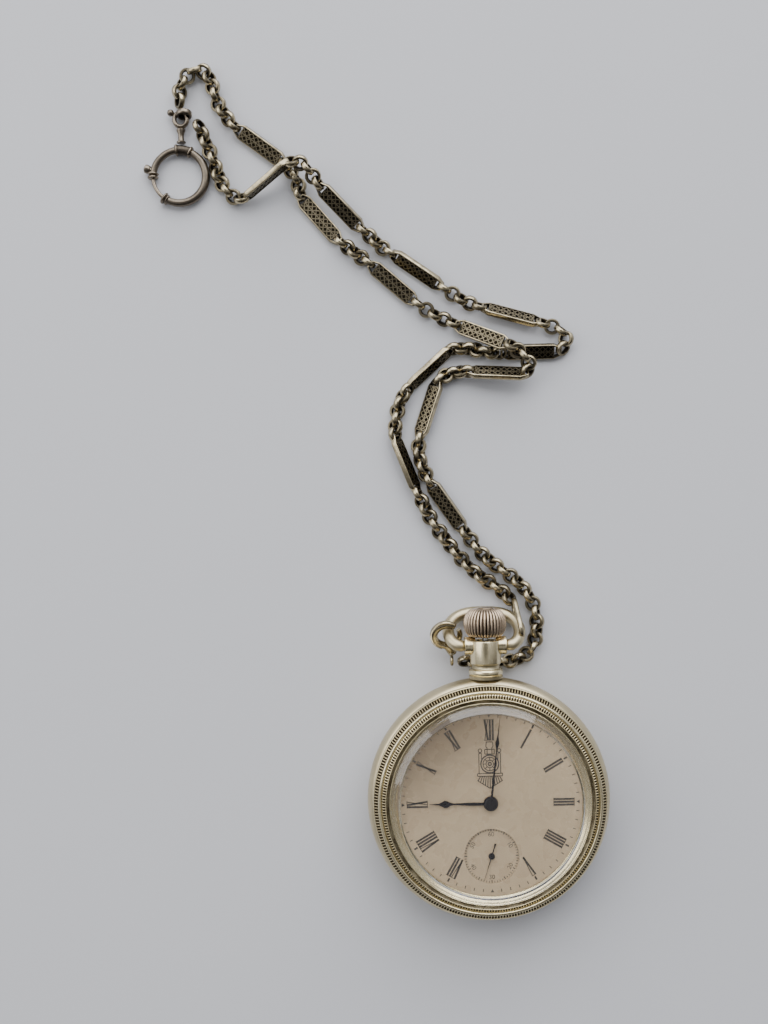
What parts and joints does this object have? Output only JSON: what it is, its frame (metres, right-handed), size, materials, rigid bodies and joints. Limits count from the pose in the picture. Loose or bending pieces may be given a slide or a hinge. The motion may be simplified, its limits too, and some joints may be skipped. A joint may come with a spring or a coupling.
{
  "type": "pocket watch",
  "caption": "Open-face stem-wind pocket watch lying on its back, with laid-back bow, swivel clasp and a long two-strand fancy-link chain ending in a bolt ring.",
  "frame": {"origin": "centre of the flat on the case back, on the table the watch lies on", "axes": "+Z out through the dial, +Y towards the crown at 12 o'clock, +X towards 3 o'clock"},
  "size_m": [0.1074, 0.204, 0.0182],
  "materials": {
    "case_nickel": "satin nickel silver, pale champagne",
    "crown_rose": "satin, slightly rose",
    "crystal_glass": "clear polished glass",
    "dial_enamel": "warm ivory glazed dial",
    "blued_steel": "blued steel, near black",
    "movement_steel": "polished steel",
    "movement_brass": "gilt brass",
    "chain_silver": "oxidised silver, worn bright on the edges",
    "gunmetal": "dark polished metal"
  },
  "bodies": {
    "case": {"case_band": "case_nickel", "pendant_neck": "case_nickel", "main_plate": "movement_brass", "top_plate": "movement_brass", "pillar_1": "movement_brass", "pillar_2": "movement_brass", "pillar_3": "movement_brass", "pillar_4": "movement_brass", "plate_screw_1": "blued_steel", "plate_screw_2": "blued_steel", "plate_screw_3": "blued_steel", "plate_screw_4": "blued_steel", "case_screw_1": "blued_steel", "case_screw_2": "blued_steel", "dial": "dial_enamel", "seconds_dial": "dial_enamel", "click_spring": "movement_steel", "hairspring": "blued_steel", "balance_cock": "movement_brass", "chain_strand_1": "chain_silver", "chain_strand_2": "chain_silver", "bolt_ring_body": "gunmetal"},
    "back": {"back_cover": "case_nickel"},
    "bezel": {"bezel": "case_nickel", "crystal": "crystal_glass"},
    "bow": {"bow": "case_nickel", "bow_link": "chain_silver", "swivel_hook": "chain_silver"},
    "gate": {"hook_gate": "chain_silver"},
    "swivel": {"swivel_eye": "chain_silver"},
    "sleeve": {"stem_sleeve": "movement_steel"},
    "crown": {"crown": "crown_rose", "winding_stem": "movement_steel"},
    "winding_pinion": {"winding_pinion": "movement_steel"},
    "crown_wheel": {"crown_wheel": "movement_steel"},
    "ratchet": {"ratchet_wheel": "movement_steel", "barrel_arbor": "movement_steel"},
    "click": {"click": "movement_steel"},
    "fourth": {"fourth_wheel": "movement_brass", "seconds_hand": "blued_steel"},
    "third": {"third_wheel": "movement_brass"},
    "centre": {"centre_wheel": "movement_brass"},
    "barrel": {"barrel_drum": "movement_brass", "barrel_cover": "movement_brass", "mainspring": "movement_steel"},
    "escape": {"escape_wheel": "movement_steel"},
    "pallets": {"pallet_fork": "movement_steel"},
    "balance": {"balance_wheel": "movement_brass"},
    "regulator": {"regulator": "movement_steel"},
    "minute": {"cannon_pinion": "movement_steel", "minute_hand": "blued_steel"},
    "minute_wheel": {"minute_wheel": "movement_brass"},
    "hour": {"hour_wheel": "movement_brass", "hour_hand": "blued_steel"},
    "bolt": {"ring_bolt": "gunmetal"},
    "ring_swivel": {"swivel_post": "gunmetal", "ring_shackle": "gunmetal"}
  },
  "joints": [
    {"name": "back_unscrew", "type": "hinge", "parent": "case", "child": "back", "pos_m": [0, 0, 0], "axis": [0, 0, 1], "range_deg": [0, 720]},
    {"name": "bezel_unscrew", "type": "hinge", "parent": "case", "child": "bezel", "pos_m": [0, 0, 0], "axis": [0, 0, 1], "range_deg": [0, 720]},
    {"name": "bow_swing", "type": "hinge", "parent": "case", "child": "bow", "pos_m": [0, 0.0359, 0.0094], "axis": [1, 0, 0], "range_deg": [0, 135]},
    {"name": "gate_open", "type": "hinge", "parent": "bow", "child": "gate", "pos_m": [-0.00709, 0.03618, 0.00548], "axis": [0, -0.515, 0.8572], "range_deg": [0, 5]},
    {"name": "clasp_swivel", "type": "hinge", "parent": "bow", "child": "swivel", "pos_m": [-0.0071, 0.03175, 0.00282], "axis": [0, 0.8572, 0.515], "continuous": true},
    {"name": "crown_pull", "type": "slide", "parent": "case", "child": "sleeve", "axis": [0, 1, 0], "range_m": [0, 0.0012]},
    {"name": "crown_turn", "type": "hinge", "parent": "sleeve", "child": "crown", "pos_m": [0, 0, 0.0094], "axis": [0, 1, 0], "continuous": true},
    {"name": "winding_pinion_turn", "type": "hinge", "parent": "case", "child": "winding_pinion", "pos_m": [0, 0, 0.0094], "axis": [0, 1, 0], "continuous": true},
    {"name": "crown_wheel_turn", "type": "hinge", "parent": "case", "child": "crown_wheel", "pos_m": [0, 0.0146, 0], "axis": [0, 0, 1], "continuous": true},
    {"name": "ratchet_turn", "type": "hinge", "parent": "case", "child": "ratchet", "pos_m": [-0.00751, 0.00762, 0], "axis": [0, 0, 1], "continuous": true},
    {"name": "click_lift", "type": "hinge", "parent": "case", "child": "click", "pos_m": [-0.01518, 0.00695, 0], "axis": [0, 0, 1], "range_deg": [0, 12]},
    {"name": "seconds_run", "type": "hinge", "parent": "case", "child": "fourth", "pos_m": [0, -0.01233, 0], "axis": [0, 0, 1], "continuous": true},
    {"name": "third_run", "type": "hinge", "parent": "case", "child": "third", "pos_m": [0.00586, -0.00741, 0], "axis": [0, 0, 1], "continuous": true},
    {"name": "centre_run", "type": "hinge", "parent": "case", "child": "centre", "pos_m": [0, 0, 0], "axis": [0, 0, 1], "continuous": true},
    {"name": "barrel_run", "type": "hinge", "parent": "case", "child": "barrel", "pos_m": [-0.00751, 0.00762, 0], "axis": [0, 0, 1], "continuous": true},
    {"name": "escape_run", "type": "hinge", "parent": "case", "child": "escape", "pos_m": [-0.00599, -0.01393, 0], "axis": [0, 0, 1], "continuous": true},
    {"name": "pallet_rock", "type": "hinge", "parent": "case", "child": "pallets", "pos_m": [-0.00851, -0.01008, 0], "axis": [0, 0, 1], "range_deg": [-5, 5]},
    {"name": "balance_swing", "type": "hinge", "parent": "case", "child": "balance", "pos_m": [-0.0115, -0.0055, 0], "axis": [0, 0, 1], "range_deg": [-135, 135], "stiffness_Nm_per_rad": 0.0000032},
    {"name": "regulator_turn", "type": "hinge", "parent": "case", "child": "regulator", "pos_m": [-0.0115, -0.0055, 0], "axis": [0, 0, 1], "range_deg": [-20, 20]},
    {"name": "hand_setting", "type": "hinge", "parent": "case", "child": "minute", "pos_m": [0, 0, 0], "axis": [0, 0, 1], "continuous": true},
    {"name": "minute_wheel_turn", "type": "hinge", "parent": "case", "child": "minute_wheel", "pos_m": [0.0028, 0.00485, 0], "axis": [0, 0, 1], "continuous": true},
    {"name": "hour_turn", "type": "hinge", "parent": "case", "child": "hour", "pos_m": [0, 0, 0], "axis": [0, 0, 1], "continuous": true},
    {"name": "ring_bolt_draw", "type": "hinge", "parent": "case", "child": "bolt", "pos_m": [-0.071, 0.1503, 0.00141], "axis": [0, 0, -1], "range_deg": [0, 26]},
    {"name": "ring_swivel_turn", "type": "hinge", "parent": "case", "child": "ring_swivel", "pos_m": [-0.0704, 0.15836, 0.00141], "axis": [0, 1, 0], "range_deg": [-20, 20]}
  ],
  "couplings": [
    {"joint": "winding_pinion_turn", "follows": "crown_turn", "ratio": 1},
    {"joint": "crown_wheel_turn", "follows": "crown_turn", "ratio": 0.44444},
    {"joint": "ratchet_turn", "follows": "crown_turn", "ratio": -0.4},
    {"joint": "third_run", "follows": "seconds_run", "ratio": -0.13333},
    {"joint": "centre_run", "follows": "seconds_run", "ratio": 0.016667},
    {"joint": "barrel_run", "follows": "seconds_run", "ratio": -0.0027778},
    {"joint": "escape_run", "follows": "seconds_run", "ratio": -10},
    {"joint": "minute_wheel_turn", "follows": "hand_setting", "ratio": -0.33333},
    {"joint": "hour_turn", "follows": "hand_setting", "ratio": 0.083333}
  ]
}
